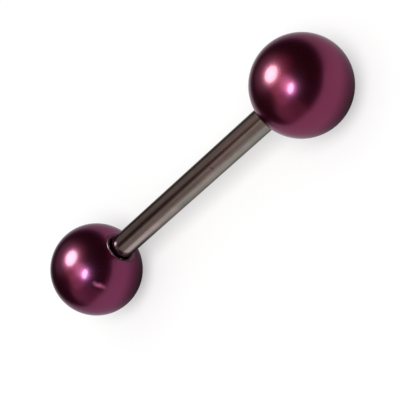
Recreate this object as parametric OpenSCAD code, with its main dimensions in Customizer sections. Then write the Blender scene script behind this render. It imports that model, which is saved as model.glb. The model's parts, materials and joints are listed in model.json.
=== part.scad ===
// Straight tongue barbell: a steel post with a threaded stud at each end,
// and two plum coloured metal balls that screw onto the studs.
// It lies on its two balls, with the post along X and Z up. Millimetres.

/* [Balls] */
// Diameter of each ball
ball_d = 6.35; // [5.5:0.05:8]
// Diameter of the hole where its bevelled lip meets the ball
mouth_d = 2.2; // [2.15:0.05:2.6]
// Width of the lip's bevel, measured along the radius
lip_w = 0.16; // [0.04:0.01:0.2]
// Full angle of the lip's bevel
lip_angle = 130; // [110:5:150]
// Full angle of the countersink inside the lip
sink_angle = 80; // [60:5:90]
// Length of plain hole left beyond the stud's tip
hole_spare = 0.3; // [0.1:0.05:0.5]
// Full angle of the cone that the drill leaves at the hole's end
drill_angle = 118; // [90:1:135]

/* [Post] */
// Diameter of the bare post, 14 gauge
post_d = 1.63; // [1.5:0.01:1.8]
// Length of the bare post from shoulder to shoulder
post_len = 15.9; // [10:0.1:20]
// Bevel on the edge of each shoulder
shoulder_bevel = 0.06; // [0.02:0.01:0.12]
// Gap between a shoulder and the mouth of its ball
seat_gap = 0.05; // [0.05:0.01:0.3]

/* [Thread] */
// Outer diameter of the thread
thread_d = 1.55; // [1.3:0.01:1.6]
// Distance from one crest to the next
thread_pitch = 0.35; // [0.25:0.01:0.4]
// Depth of the thread from crest to root
thread_depth = 0.2; // [0.1:0.01:0.24]
// Number of crests on each stud
thread_turns = 8; // [6:1:9]
// Length of the plain neck between the shoulder and the thread
neck_len = 0.35; // [0.2:0.05:0.5]
// Bevel on the tip of each stud
tip_bevel = 0.22; // [0.1:0.01:0.25]
// Clearance round the thread inside the ball
thread_gap = 0.03; // [0.02:0.01:0.06]

/* [Hidden] */
$fn = 96;
plum = [0.40, 0.10, 0.22];
steel = [0.62, 0.60, 0.58];
// Turn of each ball about the post. It changes nothing that shows, because a ball is round. It was
// picked by trial, because the faceted collision shape made from the ball lies still at this turn.
home_turn = 60;
// How far the cut for a hole goes on past the ball
cut_spare = 0.2;

ball_r = ball_d / 2;
post_r = post_d / 2;
thread_r = thread_d / 2;
root_r = thread_r - thread_depth;
mouth_r = mouth_d / 2;
bore_r = thread_r + thread_gap;
lip_r = mouth_r - lip_w;

// A thread has flats one eighth of the pitch wide at its crests and a quarter wide at its roots
crest_flat = thread_pitch / 8;
root_flat = thread_pitch / 4;
flank = (thread_pitch - crest_flat - root_flat) / 2;
stud_len = neck_len + thread_turns * thread_pitch;

// Heights above a ball's centre, along its hole
mouth_h = sqrt(ball_r * ball_r - mouth_r * mouth_r);
lip_h = mouth_h - lip_w / tan(lip_angle / 2);
sink_h = lip_h - (lip_r - bore_r) / tan(sink_angle / 2);
bore_end_h = mouth_h + seat_gap - stud_len - hole_spare;
drill_h = bore_end_h - bore_r / tan(drill_angle / 2);
// Past the lip the cut goes on at the lip's own angle
over = ball_r - mouth_h + cut_spare;

// The balls' centres
ball_x = post_len / 2 + seat_gap + mouth_h;

// One half of the post's outline as [radius, distance from the middle], from the shoulder outwards
function stud_outline() = concat(
    [
        [post_r, post_len / 2 - shoulder_bevel],
        [post_r - shoulder_bevel, post_len / 2],
        [root_r, post_len / 2]
    ],
    [
        for (turn = [0 : thread_turns - 1])
        let (start = post_len / 2 + neck_len + turn * thread_pitch)
        each turn < thread_turns - 1
            ? [
                [root_r, start],
                [thread_r, start + flank],
                [thread_r, start + flank + crest_flat],
                [root_r, start + 2 * flank + crest_flat]
            ]
            : [
                [root_r, start],
                [thread_r, start + flank],
                [thread_r, post_len / 2 + stud_len - tip_bevel],
                [thread_r - tip_bevel, post_len / 2 + stud_len]
            ]
    ]
);

function mirrored(outline) = [
    for (i = [len(outline) - 1 : -1 : 0]) [outline[i][0], -outline[i][1]]
];

module post() {
    end_x = post_len / 2 + stud_len;
    color(steel)
        translate([0, 0, ball_r])
            rotate([0, 90, 0])
                rotate_extrude()
                    polygon(concat(
                        [[0, -end_x]],
                        mirrored(stud_outline()),
                        stud_outline(),
                        [[0, end_x]]
                    ));
}

// The threaded hole's cutter, with its mouth towards +Z and the ball's centre at the origin
module hole() {
    rotate_extrude()
        polygon([
            [0, drill_h],
            [bore_r, bore_end_h],
            [bore_r, sink_h],
            [lip_r, lip_h],
            [mouth_r, mouth_h],
            [mouth_r + over * tan(lip_angle / 2), mouth_h + over],
            [0, mouth_h + over]
        ]);
}

// A ball on the post's end at side 1 (+X) or -1 (-X), its hole facing the post
module ball(side) {
    color(plum)
        translate([side * ball_x, 0, ball_r])
            rotate([home_turn, 0, 0])
                rotate([0, -90 * side, 0])
                    difference() {
                        sphere(r = ball_r);
                        hole();
                    }
}

module top_ball() { ball(1); }

module bottom_ball() { ball(-1); }

post();
top_ball();
bottom_ball();
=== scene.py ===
# Tongue barbell: a drawn steel post with cut threads, and two balls in a glossy plum coating
import json
import math

import bpy
import numpy as np
from mathutils import Matrix, Vector


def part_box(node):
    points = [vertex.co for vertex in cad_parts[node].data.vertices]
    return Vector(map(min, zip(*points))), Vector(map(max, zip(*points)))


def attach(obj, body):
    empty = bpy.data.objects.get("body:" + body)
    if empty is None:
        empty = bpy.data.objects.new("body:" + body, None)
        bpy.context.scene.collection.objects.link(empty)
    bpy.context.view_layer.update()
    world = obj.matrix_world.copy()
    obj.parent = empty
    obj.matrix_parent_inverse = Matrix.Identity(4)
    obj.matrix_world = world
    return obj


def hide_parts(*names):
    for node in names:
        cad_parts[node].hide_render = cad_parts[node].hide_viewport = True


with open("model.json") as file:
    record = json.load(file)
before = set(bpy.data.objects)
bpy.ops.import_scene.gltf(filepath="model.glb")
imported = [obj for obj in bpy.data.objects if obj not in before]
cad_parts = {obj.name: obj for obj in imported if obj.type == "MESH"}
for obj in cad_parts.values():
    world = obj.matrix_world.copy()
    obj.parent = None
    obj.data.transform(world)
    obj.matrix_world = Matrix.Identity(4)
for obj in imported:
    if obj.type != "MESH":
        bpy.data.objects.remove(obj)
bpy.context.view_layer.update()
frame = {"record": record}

mm = 0.001
hair = 1e-9              # metres, shorter than anything here
scene = bpy.context.scene


# Sizes of the real thing, read from the frame. The barbell lies on its balls, so the height of the
# post's axis is a ball's radius.
def readSizes():
    mount = frame["record"]["mounts"][0]
    ballLow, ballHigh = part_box("top_ball")
    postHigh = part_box("post")[1]
    found = {
        "axisHeight": mount["pos_m"][2],
        "ballRadius": mount["pos_m"][2],
        "postRadius": mount["dims"]["r_mm"] * mm,
        "halfPost": mount["dims"]["length_mm"] * mm / 2,
        "studTip": postHigh.x,
    }
    found["ballX"] = ballHigh.x - found["ballRadius"]
    found["mouthHeight"] = found["ballX"] - ballLow.x
    found["mouthRadius"] = math.sqrt(found["ballRadius"] ** 2 - found["mouthHeight"] ** 2)
    return found


sizes = readSizes()
print("sizes in mm:", {name: round(value / mm, 3) for name, value in sizes.items()})

# The thread that the post and the balls share
thread = {
    "pitch": 0.35 * mm,
    "radius": 0.775 * mm,       # crest of the stud's thread
    "depth": 0.2 * mm,
    "crestShare": 1 / 8,        # share of the pitch that is flat at the crest
    "rootShare": 1 / 4,         # and at the root
    "rowsPerTurn": 16,
}


# Height of a V thread, 0 at its root and 1 at its crest. The place within one turn, from -1/2 to 1/2,
# goes from the middle of one crest to the next, and the flank is a straight ramp between the two flats.
def toothHeight(turns):
    offset = np.abs(turns - np.round(turns))
    crestEdge = thread["crestShare"] / 2
    rootEdge = 0.5 - thread["rootShare"] / 2
    return np.clip((rootEdge - offset) / (rootEdge - crestEdge), 0, 1)


def smoothStep(low, high, value):
    share = np.clip((value - low) / (high - low), 0, 1)
    return share * share * (3 - 2 * share)


# An outline whose corners are rounded. Each corner is cut back by radius * tan(half its turn) on both
# sides, and the arc between is swung round the corner's own centre in equal steps. A pair of rows just
# outside each arc, hold * radius away, keeps the shading of the flat stretches flat. A corner that turns
# less than slight, in radians, stays as it is.
def roundedOutline(corners, radii, arcSteps=6, hold=0.35, slight=1e-4):
    corners = [np.array(corner, float) for corner in corners]
    outline = [corners[0]]
    for before, corner, after, radius in zip(corners, corners[1:], corners[2:], radii):
        comingIn = (corner - before) / np.linalg.norm(corner - before)
        goingOut = (after - corner) / np.linalg.norm(after - corner)
        turn = math.atan2(comingIn[0] * goingOut[1] - comingIn[1] * goingOut[0], comingIn @ goingOut)
        if radius == 0 or abs(turn) < slight:
            outline.append(corner)
            continue
        cut = radius * math.tan(abs(turn) / 2)
        side = np.array([-comingIn[1], comingIn[0]]) * math.copysign(1, turn)
        centre = corner - comingIn * cut + side * radius
        swing = np.linspace(0, turn, arcSteps + 1)[:, None]
        arc = centre - side * radius * np.cos(swing) + comingIn * radius * np.sin(np.abs(swing))
        outline.append(arc[0] - comingIn * radius * hold)
        outline.extend(arc)
        outline.append(arc[-1] + goingOut * radius * hold)
    outline.append(corners[-1])
    return np.array(outline)


# The same outline with more rows, so that no step is longer than the one given. slack is the share of a
# step that is let pass as rounding.
def withRows(outline, longest, slack=1e-6):
    pieces = [outline[:1]]
    for start, end in zip(outline[:-1], outline[1:]):
        count = max(1, math.ceil(np.linalg.norm(end - start) / longest - slack))
        share = np.linspace(0, 1, count + 1)[1:, None]
        pieces.append(start + (end - start) * share)
    return np.concatenate(pieces)


# How worn each row of an outline is: 1 on an edge, falling smoothly to 0 at the given width from the
# nearest of the edges, which are [height, radius] points like the rows
def wearNear(rows, edges, width):
    away = np.linalg.norm(rows[:, None] - np.array(edges)[None], axis=2).min(1)
    return 1 - smoothStep(0, width, away)[:, None]


# A closed skin over a grid of points: rows run along the piece and columns go round it. Quads join each
# row to the next and the last column to the first, and a fan of triangles closes each end on its pole.
# If the volume under the faces comes out negative they point inwards, and all are turned round.
# wear is kept on the points, for the materials to read.
def closedSkin(name, grid, firstPole, lastPole, wear):
    rows, columns = grid.shape[:2]
    points = np.concatenate([grid.reshape(-1, 3), [firstPole, lastPole]])
    row, column = np.meshgrid(np.arange(rows - 1), np.arange(columns), indexing="ij")
    after = (column + 1) % columns
    corners = [row * columns + column, row * columns + after, (row + 1) * columns + after,
               (row + 1) * columns + column]
    quads = np.stack(corners, -1).reshape(-1, 4)
    ring = np.arange(columns)
    ringAfter = (ring + 1) % columns
    lastRow = (rows - 1) * columns
    firstFan = np.stack([np.full(columns, rows * columns), ringAfter, ring], -1)
    lastFan = np.stack([np.full(columns, rows * columns + 1), lastRow + ring, lastRow + ringAfter], -1)
    triangles = np.concatenate([quads[:, [0, 1, 2]], quads[:, [0, 2, 3]], firstFan, lastFan])
    a, b, c = (points[triangles[:, i]] - points.mean(0) for i in range(3))
    if np.einsum("ij,ij->", a, np.cross(b, c)) < 0:
        quads, firstFan, lastFan = quads[:, ::-1], firstFan[:, ::-1], lastFan[:, ::-1]
    mesh = bpy.data.meshes.new(name)
    mesh.from_pydata(points, [], [*quads.tolist(), *firstFan.tolist(), *lastFan.tolist()])
    mesh.polygons.foreach_set("use_smooth", np.ones(len(mesh.polygons), bool))
    wornPoints = np.concatenate([np.broadcast_to(wear, (rows, columns)).ravel(), [0, 0]])
    kept = mesh.attributes.new("wear", "FLOAT", "POINT")
    kept.data.foreach_set("value", wornPoints.astype(np.float32))
    mesh.validate()
    piece = bpy.data.objects.new(name, mesh)
    scene.collection.objects.link(piece)
    return piece


# Puts an outline of [height along the axis, radius] round the X axis: a point is (x, r cos angle,
# r sin angle) about the post's axis. facing turns the height towards +X or -X.
def roundTheAxis(height, radius, angles, centreX, facing):
    x = centreX + facing * height
    y, z = radius * np.cos(angles), radius * np.sin(angles)
    return np.stack([x + 0 * angles, y, sizes["axisHeight"] + z], -1)


def axisPoint(centreX, facing, height):
    return [centreX + facing * height, 0, sizes["axisHeight"]]


postShape = {
    "bevel": 0.06 * mm,          # on the shoulder's edge
    "edgeRound": 0.03 * mm,
    "neck": 0.35 * mm,           # plain neck between the shoulder and the thread
    "neckRound": 0.05 * mm,
    "tipBevel": 0.22 * mm,
    "tipRound": 0.03 * mm,
    "runOut": 0.2 * mm,          # over which the thread fades in and out
    "lastRow": 0.1 * mm,         # radius of the last row on a tip, before its pole
    "rowLength": 0.15 * mm,      # longest step along the bare post
    "wearWidth": 0.12 * mm,
    "wornCrest": 0.7,            # share of the thread's height above which it is worn
    "columns": 120,
}


# The post: an outline carried round the X axis, from one stud's tip to the other's. On the studs the
# radius also follows the thread: root + depth * tooth(x / pitch - angle / one turn), which is a
# right-handed helix, and the tip's bevel cuts it off.
def makePost():
    shape = postShape
    root = thread["radius"] - thread["depth"]
    tip = sizes["studTip"]
    shoulder = sizes["halfPost"]
    corners = [
        [0, sizes["postRadius"]],
        [shoulder - shape["bevel"], sizes["postRadius"]],
        [shoulder, sizes["postRadius"] - shape["bevel"]],
        [shoulder, root],
        [tip, root],
        [tip, shape["lastRow"]],
    ]
    radii = [shape["edgeRound"], shape["edgeRound"], shape["neckRound"], shape["tipRound"]]
    outline = roundedOutline(corners, radii)
    onStud = outline[:, 0] > shoulder + shape["neckRound"]
    bare = withRows(outline[~onStud], shape["rowLength"])
    stud = withRows(outline[onStud], thread["pitch"] / thread["rowsPerTurn"])
    half = np.concatenate([bare, stud])
    half = np.concatenate([(half * [-1, 1])[:0:-1], half])
    x, radius = half[:, :1], half[:, 1:]
    angles = np.linspace(0, 2 * math.pi, shape["columns"], endpoint=False)[None, :]
    threadStart = shoulder + shape["neck"]
    fade = smoothStep(threadStart, threadStart + shape["runOut"], np.abs(x))
    tooth = fade * toothHeight(x / thread["pitch"] - angles / (2 * math.pi))
    bevelLimit = thread["radius"] + tip - shape["tipBevel"] - np.abs(x)
    risen = np.minimum(radius + thread["depth"] * tooth, np.maximum(bevelLimit, 0))
    threaded = np.where(np.abs(x) > threadStart, risen, radius)
    wear = wearNear(np.abs(half), [corners[1], corners[2], corners[4]], shape["wearWidth"])
    wear = np.maximum(wear, smoothStep(shape["wornCrest"], 1.0, tooth))
    radius = np.where(np.abs(x) >= tip - hair, np.minimum(radius, threaded), threaded)
    grid = roundTheAxis(x, radius, angles, 0, 1)
    piece = closedSkin("post_skin", grid, axisPoint(0, 1, -tip), axisPoint(0, 1, tip), wear)
    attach(piece, "post")
    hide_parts("post")
    return piece


ballShape = {
    "lipWidth": 0.16 * mm,       # width of the lip's bevel, along the radius
    "lipAngle": 130,             # its full angle
    "sinkAngle": 80,             # full angle of the countersink
    "lipRound": 0.02 * mm,
    "mouthRound": 0.03 * mm,     # where the lip meets the ball
    "lipSteps": 5,               # in the arc of each rounded corner
    "boreRadius": 0.805 * mm,    # the stud's crests clear it
    "grooveDepth": 0.13 * mm,
    "boreEnd": -0.4216 * mm,     # height of the bore's end above the ball's centre
    "drillAngle": 118,
    "rowLength": 0.1 * mm,       # longest step down the drill's cone
    "wearWidth": 0.11 * mm,
    "columns": 160,
    "sphereRows": 110,
}


# A ball: the sphere from its far pole round to the mouth, then the lip, the countersink, the bore with
# its own helical groove, and the drill's cone, all carried round the X axis. hole is the way it faces.
def makeBall(name, node, centreX, hole):
    shape = ballShape
    lipRadius = sizes["mouthRadius"] - shape["lipWidth"]
    lipHeight = sizes["mouthHeight"] - shape["lipWidth"] / math.tan(math.radians(shape["lipAngle"] / 2))
    sinkDepth = (lipRadius - shape["boreRadius"]) / math.tan(math.radians(shape["sinkAngle"] / 2))
    sinkHeight = lipHeight - sinkDepth
    drillHeight = shape["boreEnd"] - shape["boreRadius"] / math.tan(math.radians(shape["drillAngle"] / 2))
    mouthTurn = math.asin((sizes["mouthRadius"] + shape["lipRound"]) / sizes["ballRadius"])
    polar = np.linspace(math.pi, mouthTurn, shape["sphereRows"])[1:]
    sphere = sizes["ballRadius"] * np.stack([np.cos(polar), np.sin(polar)], -1)
    corners = [
        sphere[-1],
        [sizes["mouthHeight"], sizes["mouthRadius"]],
        [lipHeight, lipRadius],
        [sinkHeight, shape["boreRadius"]],
        [shape["boreEnd"], shape["boreRadius"]],
    ]
    radii = [shape["mouthRound"], shape["lipRound"], shape["lipRound"]]
    lip = roundedOutline(corners, radii, shape["lipSteps"])
    aboveBore = np.concatenate([sphere, lip[1:-2]])
    bore = withRows(lip[-2:], thread["pitch"] / thread["rowsPerTurn"])
    drill = np.array([[shape["boreEnd"], shape["boreRadius"]], [drillHeight, 0]])
    drill = withRows(drill, shape["rowLength"])[1:-1]
    half = np.concatenate([aboveBore, bore, drill])
    height, radius = half[:, :1], half[:, 1:]
    angles = np.linspace(0, 2 * math.pi, shape["columns"], endpoint=False)[None, :]
    x = centreX + hole * height
    inBore = np.arange(len(half))[:, None] >= len(aboveBore)
    fade = smoothStep(sinkHeight, sinkHeight - thread["pitch"], height)
    fade = fade * smoothStep(shape["boreEnd"], shape["boreEnd"] + thread["pitch"], height) * inBore
    groove = shape["grooveDepth"] * fade * toothHeight(x / thread["pitch"] - angles / (2 * math.pi))
    grid = roundTheAxis(height, radius + groove, angles, centreX, hole)
    wear = wearNear(half, [corners[1], corners[2]], shape["wearWidth"])
    piece = closedSkin(name, grid, axisPoint(centreX, hole, -sizes["ballRadius"]),
                       axisPoint(centreX, hole, drillHeight), wear)
    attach(piece, node)
    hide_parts(node)
    return piece


post = makePost()
topBall = makeBall("top_ball_skin", "top_ball", sizes["ballX"], -1)
bottomBall = makeBall("bottom_ball_skin", "bottom_ball", -sizes["ballX"], 1)
for piece in (post, topBall, bottomBall):
    print("made", piece.name, "with", len(piece.data.vertices), "points")


# Node helpers: one sets some values of a node, one adds a node with some, and one joins two sockets
def setInputs(node, values):
    for socket, value in values.items():
        node.inputs[socket].default_value = value


def addNode(tree, kind, values=None, **settings):
    node = tree.nodes.new(kind)
    for name, value in settings.items():
        setattr(node, name, value)
    setInputs(node, values or {})
    return node


def join(tree, source, target):
    tree.links.new(source, target)


# A smooth step of a number: first where it is low or less, last where it is high or more
def smoothRamp(tree, source, low, high, first=0.0, last=1.0):
    limits = {"From Min": low, "From Max": high, "To Min": first, "To Max": last}
    ramp = addNode(tree, "ShaderNodeMapRange", limits, interpolation_type="SMOOTHSTEP")
    join(tree, source, ramp.inputs["Value"])
    return ramp.outputs["Result"]


# The product of some numbers
def product(tree, factors):
    total = factors[0]
    for factor in factors[1:]:
        times = addNode(tree, "ShaderNodeMath", operation="MULTIPLY")
        join(tree, total, times.inputs[0])
        join(tree, factor, times.inputs[1])
        total = times.outputs[0]
    return total


# A shader node group with its named sockets. The vectors come first, then numbers with their usual values.
def newGroup(name, vectors, numbers, outputs):
    group = bpy.data.node_groups.new(name, "ShaderNodeTree")
    for label in vectors:
        group.interface.new_socket(label, in_out="INPUT", socket_type="NodeSocketVector")
    for label, value in numbers.items():
        socket = group.interface.new_socket(label, in_out="INPUT", socket_type="NodeSocketFloat")
        socket.default_value = value
    for label in outputs:
        group.interface.new_socket(label, in_out="OUTPUT", socket_type="NodeSocketFloat")
    return group, addNode(group, "NodeGroupInput"), addNode(group, "NodeGroupOutput")


# Values inside the effects, which both materials share
effects = {
    "roughNoise": {"Detail": 3.0, "Roughness": 0.6},
    "smoothNoise": {"Detail": 2.0, "Roughness": 0.5},
    "finer": 4.3,                # how many times finer the second noise of the fine marks is
    "faintWear": 0.33,           # wear under this doesn't show
    "ragged": 0.9,               # how far noise shifts the rim of a streak, which is at 1
}


# Fine marks: noise in two sizes as a mask from 0 to 1 and a height. Drawn wire uses it with a long
# stretch, the coating with none. Mask = contrast * (mixed noise - 1/2) + 1/2, held between 0 and 1.
def makeFineMarks():
    group, entry, leave = newGroup(
        "fineMarks", ["Vector"], {"Size": 20000.0, "Fine Share": 0.4, "Contrast": 1.0}, ["Mask", "Height"])
    broad = addNode(group, "ShaderNodeTexNoise", effects["roughNoise"])
    fineSize = addNode(group, "ShaderNodeMath", {1: effects["finer"]}, operation="MULTIPLY")
    fine = addNode(group, "ShaderNodeTexNoise", effects["smoothNoise"])
    blend = addNode(group, "ShaderNodeMix", data_type="FLOAT")
    centre = addNode(group, "ShaderNodeMath", {1: 0.5}, operation="SUBTRACT")
    stretch = addNode(group, "ShaderNodeMath", operation="MULTIPLY")
    back = addNode(group, "ShaderNodeMath", {1: 0.5}, operation="ADD", use_clamp=True)
    join(group, entry.outputs["Vector"], broad.inputs["Vector"])
    join(group, entry.outputs["Vector"], fine.inputs["Vector"])
    join(group, entry.outputs["Size"], broad.inputs["Scale"])
    join(group, entry.outputs["Size"], fineSize.inputs[0])
    join(group, fineSize.outputs[0], fine.inputs["Scale"])
    join(group, entry.outputs["Fine Share"], blend.inputs[0])
    join(group, broad.outputs[0], blend.inputs[2])
    join(group, fine.outputs[0], blend.inputs[3])
    join(group, blend.outputs[0], centre.inputs[0])
    join(group, centre.outputs[0], stretch.inputs[0])
    join(group, entry.outputs["Contrast"], stretch.inputs[1])
    join(group, stretch.outputs[0], back.inputs[0])
    join(group, back.outputs[0], leave.inputs["Mask"])
    join(group, blend.outputs[0], leave.inputs["Height"])
    return group


# Worn edges: the wear kept on the points, with noise to make the rub uneven, as a mask from 0 to 1.
# Mask = smooth step from the faint wear to 1 of wear + spread * (noise - 1/2).
def makeWornEdges():
    numbers = {"Wear": 0.0, "Size": 9000.0, "Spread": 0.6}
    group, entry, leave = newGroup("wornEdges", ["Vector"], numbers, ["Mask"])
    noise = addNode(group, "ShaderNodeTexNoise", effects["roughNoise"])
    centre = addNode(group, "ShaderNodeMath", {1: 0.5}, operation="SUBTRACT")
    uneven = addNode(group, "ShaderNodeMath", operation="MULTIPLY_ADD")
    join(group, entry.outputs["Vector"], noise.inputs["Vector"])
    join(group, entry.outputs["Size"], noise.inputs["Scale"])
    join(group, noise.outputs[0], centre.inputs[0])
    join(group, centre.outputs[0], uneven.inputs[0])
    join(group, entry.outputs["Spread"], uneven.inputs[1])
    join(group, entry.outputs["Wear"], uneven.inputs[2])
    join(group, smoothRamp(group, uneven.outputs[0], effects["faintWear"], 1.0), leave.inputs["Mask"])
    return group


# A soft streak left by a touch: an ellipse round a middle. Long Way and Short Way are directions over
# their half lengths, so that their dot products with the place give 1 at the streak's end and its side.
# Mask = 1 - smooth step from core to 1 of the root of both squares + ragged * (noise - 1/2).
def makeSoftStreak():
    group, entry, leave = newGroup(
        "softStreak", ["Vector", "Middle", "Long Way", "Short Way"], {"Size": 6000.0, "Core": 0.4}, ["Mask"])
    away = addNode(group, "ShaderNodeVectorMath", operation="SUBTRACT")
    lengthwise = addNode(group, "ShaderNodeVectorMath", operation="DOT_PRODUCT")
    sideways = addNode(group, "ShaderNodeVectorMath", operation="DOT_PRODUCT")
    both = addNode(group, "ShaderNodeCombineXYZ")
    reach = addNode(group, "ShaderNodeVectorMath", operation="LENGTH")
    noise = addNode(group, "ShaderNodeTexNoise", effects["smoothNoise"])
    uneven = addNode(group, "ShaderNodeMath", {1: effects["ragged"]}, operation="MULTIPLY_ADD")
    shift = addNode(group, "ShaderNodeMath", {1: effects["ragged"] / 2}, operation="SUBTRACT")
    fade = addNode(group, "ShaderNodeMapRange", {"To Min": 1.0, "To Max": 0.0},
                   interpolation_type="SMOOTHSTEP")
    join(group, entry.outputs["Vector"], away.inputs[0])
    join(group, entry.outputs["Middle"], away.inputs[1])
    join(group, away.outputs[0], lengthwise.inputs[0])
    join(group, entry.outputs["Long Way"], lengthwise.inputs[1])
    join(group, away.outputs[0], sideways.inputs[0])
    join(group, entry.outputs["Short Way"], sideways.inputs[1])
    join(group, lengthwise.outputs["Value"], both.inputs[0])
    join(group, sideways.outputs["Value"], both.inputs[1])
    join(group, both.outputs[0], reach.inputs[0])
    join(group, entry.outputs["Vector"], noise.inputs["Vector"])
    join(group, entry.outputs["Size"], noise.inputs["Scale"])
    join(group, noise.outputs[0], uneven.inputs[0])
    join(group, reach.outputs["Value"], uneven.inputs[2])
    join(group, uneven.outputs[0], shift.inputs[0])
    join(group, shift.outputs[0], fade.inputs["Value"])
    join(group, entry.outputs["Core"], fade.inputs["From Min"])
    join(group, fade.outputs["Result"], leave.inputs["Mask"])
    return group


fineMarks = makeFineMarks()
wornEdges = makeWornEdges()
softStreak = makeSoftStreak()


def placeGroup(tree, group, values):
    return addNode(tree, "ShaderNodeGroup", values, node_tree=group)


def newMaterial(name):
    material = bpy.data.materials.new(name)
    material.use_nodes = True
    tree = material.node_tree
    return material, tree, tree.nodes["Principled BSDF"]


# Mixes from one colour to another by a mask, and gives the mixed socket. Either colour is a fixed value
# or a socket. The node has sockets of its own for each kind of value: 6 and 7 for colours, and 2 and 3
# for numbers.
def mixColours(tree, mask, first, second, blend="MIX"):
    node = addNode(tree, "ShaderNodeMix", data_type="RGBA", blend_type=blend)
    join(tree, mask, node.inputs[0])
    for slot, colour in ((6, first), (7, second)):
        if isinstance(colour, tuple):
            node.inputs[slot].default_value = colour
        else:
            join(tree, colour, node.inputs[slot])
    return node.outputs[2]


# The same for two plain numbers
def mixNumbers(tree, mask, first, second):
    node = addNode(tree, "ShaderNodeMix", data_type="FLOAT")
    join(tree, mask, node.inputs[0])
    for slot, number in ((2, first), (3, second)):
        if isinstance(number, float):
            node.inputs[slot].default_value = number
        else:
            join(tree, number, node.inputs[slot])
    return node.outputs[0]


# The same for two shaders
def mixShaders(tree, mask, first, second):
    node = addNode(tree, "ShaderNodeMixShader")
    for slot, source in enumerate((mask, first, second)):
        join(tree, source, node.inputs[slot])
    return node.outputs[0]


# The mask of worn edges for a material whose mesh holds the wear
def wornMask(tree, place, uneven):
    worn = placeGroup(tree, wornEdges, uneven)
    wear = addNode(tree, "ShaderNodeAttribute", attribute_name="wear")
    join(tree, place.outputs["Object"], worn.inputs["Vector"])
    join(tree, wear.outputs["Fac"], worn.inputs["Wear"])
    return worn.outputs["Mask"]


# The mask of one streak, given its middle and the ends of its two half axes in the object's frame
def streakMask(tree, place, streak):
    middle = Vector(streak["middle"])
    longWay = Vector(streak["end"]) - middle
    shortWay = Vector(streak["side"]) - middle
    node = placeGroup(tree, softStreak, {
        "Middle": middle,
        "Long Way": longWay / longWay.length_squared,
        "Short Way": shortWay / shortWay.length_squared,
        "Size": streak["unevenSize"],
        "Core": streak["core"],
    })
    join(tree, place.outputs["Object"], node.inputs["Vector"])
    return node.outputs["Mask"]


# A place on a ball, in mm from its centre, in the object's frame
def onBall(centreX, x, y, z):
    return (centreX + x * mm, y * mm, sizes["axisHeight"] + z * mm)


# A place on the post's skin: how far along it, and the angle round it
def onPost(x, degrees):
    angle = math.radians(degrees)
    return (x * mm, sizes["postRadius"] * math.cos(angle),
            sizes["axisHeight"] + sizes["postRadius"] * math.sin(angle))


steelLook = {
    "dark": (0.155, 0.151, 0.139, 1),
    "light": (0.313, 0.297, 0.275, 1),
    "edgeTint": (0.35, 0.33, 0.32, 1),         # what is left of the sheen at a grazing angle
    "roughLow": 0.12,
    "roughHigh": 0.17,
    "acrossMarks": 0.62,         # how much wider the scatter is across the drawn marks
    "streaks": {"Size": 6500, "Fine Share": 0.35, "Contrast": 2.6},
    "streakStretch": 0.02,       # lengthwise against across
    "tarnish": (0.80, 0.84, 0.80, 1),          # what slow broad patches take off the colour
    "tarnishPatches": {"Size": 900, "Fine Share": 0.3, "Contrast": 2.5},
    "blush": (1.04, 0.93, 0.94, 1),            # a warmer tint in other patches, drawn out lengthwise
    "blushPatches": {"Size": 1500, "Fine Share": 0.2, "Contrast": 4.0},
    "blushStretch": 0.25,
    "bump": 0.12,
    "bumpHeight": 0.004 * mm,
    "worn": (0.37, 0.32, 0.315, 1),
    "wornUneven": {"Size": 9000.0, "Spread": 0.7},
    "wornRoughness": 0.12,
    "nick": (0.10, 0.085, 0.07, 1),
    "nickPlace": {"middle": onPost(2.581, 130.0), "end": onPost(2.66, 142.0), "side": onPost(2.51, 133.0),
                  "unevenSize": 9000.0, "core": 0.2},
    # painted reflection: a brighter lengthwise band on one side of the post, near the bottom ball
    "polished": (0.385, 0.322, 0.314, 1),
    "polishPlace": {"middle": onPost(-6.5, 166.0), "end": onPost(0.6, 166.0), "side": onPost(-6.5, 126.0),
                    "unevenSize": 600.0, "core": 0.0},
}
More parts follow.
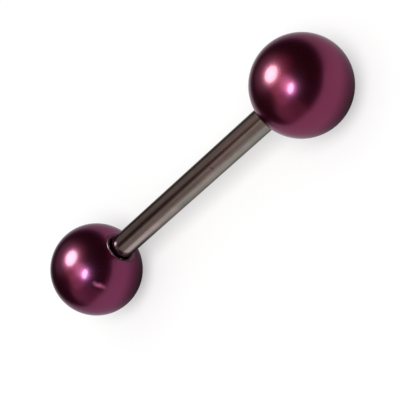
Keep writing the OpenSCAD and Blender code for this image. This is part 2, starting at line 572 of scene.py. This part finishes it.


# Drawn steel: long fine streaks along X vary its colour, its roughness and its height. Broad patches
# darken it and others make it warmer. A lengthwise band on one side of the post, near the bottom ball, is
# painted brighter as a painted reflection. The edges are worn bright and one small nick is dark.
def makeSteel():
    look = steelLook
    material, tree, shader = newMaterial("drawnSteel")
    place = addNode(tree, "ShaderNodeTexCoord")
    drawn = addNode(tree, "ShaderNodeMapping", {"Scale": (look["streakStretch"], 1, 1)})
    spread = addNode(tree, "ShaderNodeMapping", {"Scale": (look["blushStretch"], 1, 1)})
    marks = placeGroup(tree, fineMarks, look["streaks"])
    patches = placeGroup(tree, fineMarks, look["tarnishPatches"])
    blush = placeGroup(tree, fineMarks, look["blushPatches"])
    join(tree, place.outputs["Object"], drawn.inputs["Vector"])
    join(tree, drawn.outputs[0], marks.inputs["Vector"])
    join(tree, place.outputs["Object"], patches.inputs["Vector"])
    join(tree, place.outputs["Object"], spread.inputs["Vector"])
    join(tree, spread.outputs[0], blush.inputs["Vector"])
    worn = wornMask(tree, place, look["wornUneven"])
    nick = streakMask(tree, place, look["nickPlace"])
    # mask of the painted reflection band
    polished = streakMask(tree, place, look["polishPlace"])
    colour = mixColours(tree, marks.outputs["Mask"], look["dark"], look["light"])
    colour = mixColours(tree, patches.outputs["Mask"], colour, look["tarnish"], "MULTIPLY")
    colour = mixColours(tree, blush.outputs["Mask"], colour, look["blush"], "MULTIPLY")
    colour = mixColours(tree, polished, colour, look["polished"])
    colour = mixColours(tree, worn, colour, look["worn"])
    colour = mixColours(tree, nick, colour, look["nick"])
    rough = mixNumbers(tree, marks.outputs["Mask"], look["roughLow"], look["roughHigh"])
    rough = mixNumbers(tree, worn, rough, look["wornRoughness"])
    bump = addNode(tree, "ShaderNodeBump", {"Strength": look["bump"], "Distance": look["bumpHeight"]})
    join(tree, marks.outputs["Height"], bump.inputs["Height"])
    join(tree, colour, shader.inputs["Base Color"])
    join(tree, rough, shader.inputs["Roughness"])
    join(tree, bump.outputs["Normal"], shader.inputs["Normal"])
    across = addNode(tree, "ShaderNodeTangent", direction_type="RADIAL", axis="X")
    join(tree, across.outputs["Tangent"], shader.inputs["Tangent"])
    setInputs(shader, {
        "Metallic": 1.0,
        "Specular Tint": look["edgeTint"],
        "Anisotropic": look["acrossMarks"],
    })
    return material


plumLook = {
    "topBall": (0.166, 0.0218, 0.0655, 1),
    "bottomBall": (0.158, 0.0222, 0.0728, 1),  # this one came out a little more violet
    "changeOver": 1 * mm,                  # the one colour gives way to the other within this of the middle
    "thin": (0.90, 0.88, 0.88, 1),         # where the coating is thinner, in faint broad patches
    "patches": {"Size": 260, "Fine Share": 0.2, "Contrast": 1.6},
    "edgeTint": (0.62, 0.55, 0.62, 1),     # what is left of the sheen at a grazing angle
    "roughLow": 0.255,
    "roughHigh": 0.285,
    "ripple": 0.05,
    "rippleHeight": 0.002 * mm,
    "coatWeight": 0.27,
    "coatRoughness": 0.12,
    "coatIor": 1.45,
    "worn": (0.22, 0.09, 0.14, 1),
    "wornUneven": {"Size": 7000.0, "Spread": 0.6},
    "wornRoughness": 0.62,
    "wornCoat": 0.04,                      # what is left of the gloss where the coating is worn
    # one pale, rougher streak on the bottom ball
    "rubbed": (0.70, 0.145, 0.32, 1),
    "rubbedRoughness": 0.5,
    "rubPlace": {"middle": onBall(-sizes["ballX"], 1.579, -2.232, 1.615),
                 "end": onBall(-sizes["ballX"], 1.618, -2.512, 1.089),
                 "side": onBall(-sizes["ballX"], 1.811, -2.081, 1.579), "unevenSize": 3000.0, "core": 0.0},
}


# Plum coating: a clear gloss over a soft metallic ground, with faint broad patches in both. The two
# balls were coated apart, so the colour goes by X from one ball's to the other's. The rim of each hole
# is worn dull, and the bottom ball has one pale, rougher streak.
def makePlum():
    look = plumLook
    material, tree, shader = newMaterial("plumCoat")
    place = addNode(tree, "ShaderNodeTexCoord")
    parts = addNode(tree, "ShaderNodeSeparateXYZ")
    reach = look["changeOver"]
    which = addNode(tree, "ShaderNodeMapRange", {"From Min": -reach, "From Max": reach})
    marks = placeGroup(tree, fineMarks, look["patches"])
    join(tree, place.outputs["Object"], marks.inputs["Vector"])
    join(tree, place.outputs["Object"], parts.inputs[0])
    join(tree, parts.outputs["X"], which.inputs["Value"])
    worn = wornMask(tree, place, look["wornUneven"])
    rubbed = streakMask(tree, place, look["rubPlace"])
    colour = mixColours(tree, which.outputs["Result"], look["bottomBall"], look["topBall"])
    colour = mixColours(tree, marks.outputs["Mask"], colour, look["thin"], "MULTIPLY")
    colour = mixColours(tree, worn, colour, look["worn"])
    colour = mixColours(tree, rubbed, colour, look["rubbed"])
    rough = mixNumbers(tree, marks.outputs["Mask"], look["roughLow"], look["roughHigh"])
    rough = mixNumbers(tree, worn, rough, look["wornRoughness"])
    rough = mixNumbers(tree, rubbed, rough, look["rubbedRoughness"])
    coat = mixNumbers(tree, worn, look["coatWeight"], look["wornCoat"])
    bump = addNode(tree, "ShaderNodeBump", {"Strength": look["ripple"], "Distance": look["rippleHeight"]})
    join(tree, marks.outputs["Height"], bump.inputs["Height"])
    join(tree, colour, shader.inputs["Base Color"])
    join(tree, rough, shader.inputs["Roughness"])
    join(tree, bump.outputs["Normal"], shader.inputs["Normal"])
    join(tree, coat, shader.inputs["Coat Weight"])
    setInputs(shader, {
        "Metallic": 1.0,
        "Specular Tint": look["edgeTint"],
        "Coat Roughness": look["coatRoughness"],
        "Coat IOR": look["coatIor"],
    })
    return material


steel = makeSteel()
plum = makePlum()
post.data.materials.append(steel)
topBall.data.materials.append(plum)
bottomBall.data.materials.append(plum)
print("materials:", steel.name, plum.name)

# The photograph's camera, found by fitting the two balls' outlines: how far the post's middle is, where
# it falls in the 400 pixel picture, and how the post and the floor are turned towards the lens
cameraFit = {
    "distance": 91.81 * mm,
    "focalPixels": 1431.0,
    "pictureSide": 400,
    "middlePixel": (191.72, 184.02),
    "postTilt": 37.04,           # the top ball's end comes towards the camera
    "postRoll": 41.38,           # its slope in the picture
    "floorTilt": 48.0,           # between the floor's normal and the line of sight
    "sensor": 36.0,
    "clip": (1 * mm, 20.0),      # the nearest and the farthest that it sees
}


# Axes of the object as the camera sees them (right, up, towards the lens): the post's own direction,
# and the floor's normal, whose turn in the picture is what keeps it square to the post:
# cos(roll + turn) = tan(post tilt) / tan(floor tilt)
def cameraAxes():
    tilt, roll = math.radians(cameraFit["postTilt"]), math.radians(cameraFit["postRoll"])
    floorTilt = math.radians(cameraFit["floorTilt"])
    turn = math.acos(math.tan(tilt) / math.tan(floorTilt)) - roll
    along = Vector((math.cos(tilt) * math.cos(roll), math.cos(tilt) * math.sin(roll), math.sin(tilt)))
    up = Vector((-math.sin(floorTilt) * math.cos(turn), math.sin(floorTilt) * math.sin(turn),
                 math.cos(floorTilt)))
    across = up.cross(along)
    return Matrix((along, across, up))      # rows: turns a camera direction into the object's frame


def makeCamera():
    fit = cameraFit
    turnToFrame = cameraAxes()
    half = fit["pictureSide"] / 2
    sight = Vector(((fit["middlePixel"][0] - half) / fit["focalPixels"],
                    (half - fit["middlePixel"][1]) / fit["focalPixels"], -1)).normalized()
    data = bpy.data.cameras.new("camera")
    data.sensor_width = fit["sensor"]
    data.lens = fit["focalPixels"] / fit["pictureSide"] * fit["sensor"]
    data.clip_start, data.clip_end = fit["clip"]
    camera = bpy.data.objects.new("camera", data)
    scene.collection.objects.link(camera)
    middle = Vector((0, 0, sizes["axisHeight"]))
    place = middle - turnToFrame @ (sight * fit["distance"])
    camera.matrix_world = Matrix.Translation(place) @ turnToFrame.to_4x4()
    scene.camera = camera
    return camera


camera = makeCamera()
print("camera at", [round(v / mm, 1) for v in camera.location], "mm")

# Lamps stand where their reflections in the balls say. A place is given as the camera sees it from the
# barbell: round counts anticlockwise from the picture's right, and out from the line of sight, in degrees.
# halfSize is the tangent of half the angle that a lamp takes up. The window and the side lamp stand once
# for the balls and once, in a more even colour, for the steel. The strip is low and dim, and only the
# steel mirrors it. The front lamp lays the soft shadow on the sheet.
window = {"round": 158.0, "out": 73.1, "away": 0.14, "halfSize": (0.278, 0.275), "turn": 0}
side = {"round": 199.8, "out": 28.0, "away": 0.46, "halfSize": (0.108, 0.200), "turn": -17}
front = {"round": 181.5, "out": 15.1, "away": 0.6, "halfSize": (0.43, 0.31), "turn": 0}
strip = {"round": 257.0, "out": 88.0, "away": 0.3, "halfSize": (0.35, 0.05), "turn": 0}
balls = [topBall, bottomBall]
twice = (0.58, 0.71, 0.73)      # the balls' lamps, where the post mirrors a ball that mirrors them
twiceDepth = 2.5                # a ray that comes deeper than this has been mirrored twice
lamps = {
    "windowOnPlum": window | {"radiance": 29.5, "colour": (0.40, 1.0, 0.56), "twice": twice, "lights": balls},
    "sideOnPlum": side | {"radiance": 36.0, "colour": (0.50, 1.0, 0.86), "twice": twice, "lights": balls},
    "windowOnSteel": window | {"radiance": 24.0, "colour": (0.98, 1.0, 0.95), "lights": [post]},
    "sideOnSteel": side | {"radiance": 31.0, "colour": (0.98, 1.0, 0.97), "lights": [post]},
    "stripOnSteel": strip | {"radiance": 0.55, "colour": (1.0, 0.93, 0.90), "lights": [post]},
    "frontLamp": front | {"radiance": 7.0, "colour": (1.0, 1.0, 1.0), "lights": []},
}


# From the line of sight's own angles, in degrees, to a direction in the object's frame
def seenDirection(around, out):
    around, out = math.radians(around), math.radians(out)
    seen = Vector((math.sin(out) * math.cos(around), math.sin(out) * math.sin(around), math.cos(out)))
    return (cameraAxes() @ seen).normalized()


# Light that is mirrored a second time takes another colour. A ray that has met one piece comes to the
# lamp with a depth of 1 or 2, and one that has met two pieces with 2 or 3.
def tintByDepth(data, look):
    data.use_nodes = True
    tree = data.node_tree
    path = addNode(tree, "ShaderNodeLightPath")
    again = addNode(tree, "ShaderNodeMath", {1: twiceDepth}, operation="GREATER_THAN")
    join(tree, path.outputs["Ray Depth"], again.inputs[0])
    colour = mixColours(tree, again.outputs[0], (*look["colour"], 1), (*look["twice"], 1))
    join(tree, colour, tree.nodes["Emission"].inputs["Color"])


# An elliptical area lamp facing the barbell. A lamp of area A and radiance L gives L * A * pi watts.
# A lamp with pieces to light reaches only those and only as gloss; one without lights the sheet alone.
def makeLamp(name, look):
    direction = seenDirection(look["round"], look["out"])
    width, height = (2 * half * look["away"] for half in look["halfSize"])
    data = bpy.data.lights.new(name, "AREA")
    data.shape = "ELLIPSE"
    data.size = width
    data.size_y = height
    data.energy = look["radiance"] * math.pi * (math.pi / 4 * width * height)
    if "twice" in look:
        tintByDepth(data, look)
    else:
        data.color = look["colour"]
    lamp = bpy.data.objects.new(name, data)
    scene.collection.objects.link(lamp)
    lamp.visible_camera = False
    lamp.visible_glossy = bool(look["lights"])
    lamp.visible_diffuse = not look["lights"]
    if look["lights"]:
        lit = bpy.data.collections.new(name + "Pieces")
        for piece in look["lights"]:
            lit.objects.link(piece)
        lamp.light_linking.receiver_collection = lit
    level = (cameraAxes() @ Vector((0, 1, 0))).cross(direction).normalized()
    facing = Matrix((level, direction.cross(level), direction)).transposed().to_4x4()
    spin = Matrix.Rotation(math.radians(look["turn"]), 4, "Z")
    place = Vector((0, 0, sizes["axisHeight"])) + direction * look["away"]
    lamp.matrix_world = Matrix.Translation(place) @ facing @ spin
    return lamp


for name, look in lamps.items():
    makeLamp(name, look)
print("lamps:", list(lamps))

stageLook = {
    "floorSide": 6.0,
    "floorColour": (0.5, 0.5, 0.5, 1),
    "floorRoughness": 0.9,
    "floorGlow": 0.42,           # the white sheet is also lit from below, which keeps shadows pale
    "glowColour": (1.0, 0.985, 0.98, 1),
    # Painted shade that only the metal mirrors: the sheet is painted darker past two soft straight edges.
    # Each has the way to it from the middle, in degrees round from X, the distance to it and the width of its
    # fade.
    "sheetEdges": [
        {"turn": 69.6, "reach": 24.6 * mm, "fade": 42 * mm},
        {"turn": 139.8, "reach": 35.6 * mm, "fade": 80 * mm},
    ],
    "beyond": 0.10,              # how bright the floor still is past the edges
    # painted shadows of the balls, which only the metal sees
    "shadowShift": (0.24 * mm, -0.84 * mm),   # from a ball's foot to the middle of its mirrored shadow
    "shadowCore": 0.0,
    "shadowReach": 6.6 * mm,
    "unlit": (0.0, 0.0, 0.0, 1),
}


# Painted shade on the sheet, seen only in the metal: how brightly the sheet shows there, from 0 to 1. It is
# painted darker past each of two straight edges, down to what is left beyond them, and near each ball's foot
# as
# a painted shadow: there it grows smoothly with the distance from the shadow's middle.
def makePaintedSheetShade(tree):
    look = stageLook
    place = addNode(tree, "ShaderNodeTexCoord")
    lit = []
    for edge in look["sheetEdges"]:
        turn = math.radians(edge["turn"])
        near, far = edge["reach"] - edge["fade"] / 2, edge["reach"] + edge["fade"] / 2
        way = (math.cos(turn), math.sin(turn), 0)
        reach = addNode(tree, "ShaderNodeVectorMath", {1: way}, operation="DOT_PRODUCT")
        join(tree, place.outputs["Object"], reach.inputs[0])
        lit.append(smoothRamp(tree, reach.outputs["Value"], near, far, 1.0, 0.0))
    raised = addNode(tree, "ShaderNodeMapRange", {"To Min": look["beyond"]})
    join(tree, product(tree, lit), raised.inputs["Value"])
    shares = [raised.outputs["Result"]]
    for footX in (sizes["ballX"], -sizes["ballX"]):
        middle = (footX + look["shadowShift"][0], look["shadowShift"][1], 0)
        away = addNode(tree, "ShaderNodeVectorMath", {1: middle}, operation="DISTANCE")
        join(tree, place.outputs["Object"], away.inputs[0])
        shares.append(smoothRamp(tree, away.outputs["Value"], look["shadowCore"], look["shadowReach"]))
    return product(tree, shares)


# The floor is a plain pale sheet. Only rays that come off the metal see it with painted shade and painted
# ball shadows.
def makeStage():
    look = stageLook
    half = look["floorSide"] / 2
    mesh = bpy.data.meshes.new("floor")
    corners = [(-half, -half, 0), (half, -half, 0), (half, half, 0), (-half, half, 0)]
    mesh.from_pydata(corners, [], [(0, 1, 2, 3)])
    floor = bpy.data.objects.new("floor", mesh)
    scene.collection.objects.link(floor)
    material, tree, shader = newMaterial("paleFloor")
    setInputs(shader, {
        "Base Color": look["floorColour"],
        "Roughness": look["floorRoughness"],
        "Specular IOR Level": 0.0,
        "Emission Color": look["glowColour"],
        "Emission Strength": look["floorGlow"],
    })
    # a black sheet, which the painted shade mixes in for the metal's view
    unlit = addNode(tree, "ShaderNodeBsdfDiffuse", {"Color": look["unlit"]})
    path = addNode(tree, "ShaderNodeLightPath")
    shade = addNode(tree, "ShaderNodeMath", {0: 1.0}, operation="SUBTRACT")
    join(tree, makePaintedSheetShade(tree), shade.inputs[1])
    inMetal = product(tree, [shade.outputs[0], path.outputs["Is Glossy Ray"]])
    mixed = mixShaders(tree, inMetal, shader.outputs[0], unlit.outputs[0])
    join(tree, mixed, tree.nodes["Material Output"].inputs["Surface"])
    material.cycles.emission_sampling = "NONE"
    mesh.materials.append(material)
    return floor


# The room that the metal mirrors is dim, with soft glows that were fitted to the reflections. A glow's
# place is given as a lamp's is, with the angles from its middle at which it is full and has faded.
room = {
    "dim": (0.059, 0.022, 0.022, 1),
    "sheetLight": (1.0, 1.0, 1.0, 1),   # the even light from all round that falls on the sheet
    "onSheet": 0.56,                    # its strength
    "backdrop": (1.0, 1.0, 1.0, 1),     # what the camera sees past the floor
    "glows": [
        {"place": (177.6, 37.1), "reach": (0, 20), "radiance": 2.78, "colour": (0.86, 1.0, 0.84, 1)},
        {"place": (151.1, 68.2), "reach": (4, 39), "radiance": 0.51, "colour": (1.0, 0.37, 0.46, 1)},
        {"place": (176.1, 57.3), "reach": (20, 28), "radiance": 0.60, "colour": (1.0, 0.54, 0.48, 1)},
        {"place": (209.6, 54.4), "reach": (13, 22), "radiance": 0.78, "colour": (1.0, 0.74, 0.71, 1)},
        {"place": (216.0, 76.0), "reach": (2, 14), "radiance": 0.13, "colour": (1.0, 0.98, 0.92, 1)},
        {"place": (238.0, 76.0), "reach": (4, 24), "radiance": 0.19, "colour": (1.0, 0.98, 0.90, 1)},
        {"place": (248.7, 68.9), "reach": (26, 36), "radiance": 0.31, "colour": (1.0, 0.74, 0.76, 1)},
        {"place": (159.9, 95.5), "reach": (17, 37), "radiance": 0.29, "colour": (1.0, 0.88, 0.85, 1)},
        # as if the sheet's far side curved up a little
        {"place": (335.8, 118.7), "reach": (70, 82), "radiance": 0.95, "colour": (1.0, 1.0, 1.0, 1)},
    ],
}


# Each glow fades smoothly with the angle from its middle, from full to nothing. The sheet is lit evenly
# instead, so that it stays white.
def makeRoom():
    world = bpy.data.worlds.new("room")
    scene.world = world
    world.use_nodes = True
    world.cycles.sampling_method = "NONE"
    tree = world.node_tree
    tree.nodes.clear()
    out = addNode(tree, "ShaderNodeOutputWorld")
    place = addNode(tree, "ShaderNodeTexCoord")
    light = addNode(tree, "ShaderNodeBackground", {"Color": room["dim"], "Strength": 1.0}).outputs[0]
    for look in room["glows"]:
        full, faded = (math.cos(math.radians(degrees)) for degrees in look["reach"])
        way = seenDirection(*look["place"])
        angle = addNode(tree, "ShaderNodeVectorMath", {1: way}, operation="DOT_PRODUCT")
        glow = addNode(tree, "ShaderNodeBackground", {"Color": look["colour"]})
        total = addNode(tree, "ShaderNodeAddShader")
        join(tree, place.outputs["Generated"], angle.inputs[0])
        fade = smoothRamp(tree, angle.outputs["Value"], faded, full, 0.0, look["radiance"])
        join(tree, fade, glow.inputs["Strength"])
        join(tree, light, total.inputs[0])
        join(tree, glow.outputs[0], total.inputs[1])
        light = total.outputs[0]
    even = addNode(tree, "ShaderNodeBackground", {"Color": room["sheetLight"], "Strength": room["onSheet"]})
    pale = addNode(tree, "ShaderNodeBackground", {"Color": room["backdrop"], "Strength": 1.0})
    path = addNode(tree, "ShaderNodeLightPath")
    light = mixShaders(tree, path.outputs["Is Diffuse Ray"], light, even.outputs[0])
    light = mixShaders(tree, path.outputs["Is Camera Ray"], light, pale.outputs[0])
    join(tree, light, out.inputs[0])


makeStage()
makeRoom()
scene.view_settings.view_transform = "Standard"
print("stage made")
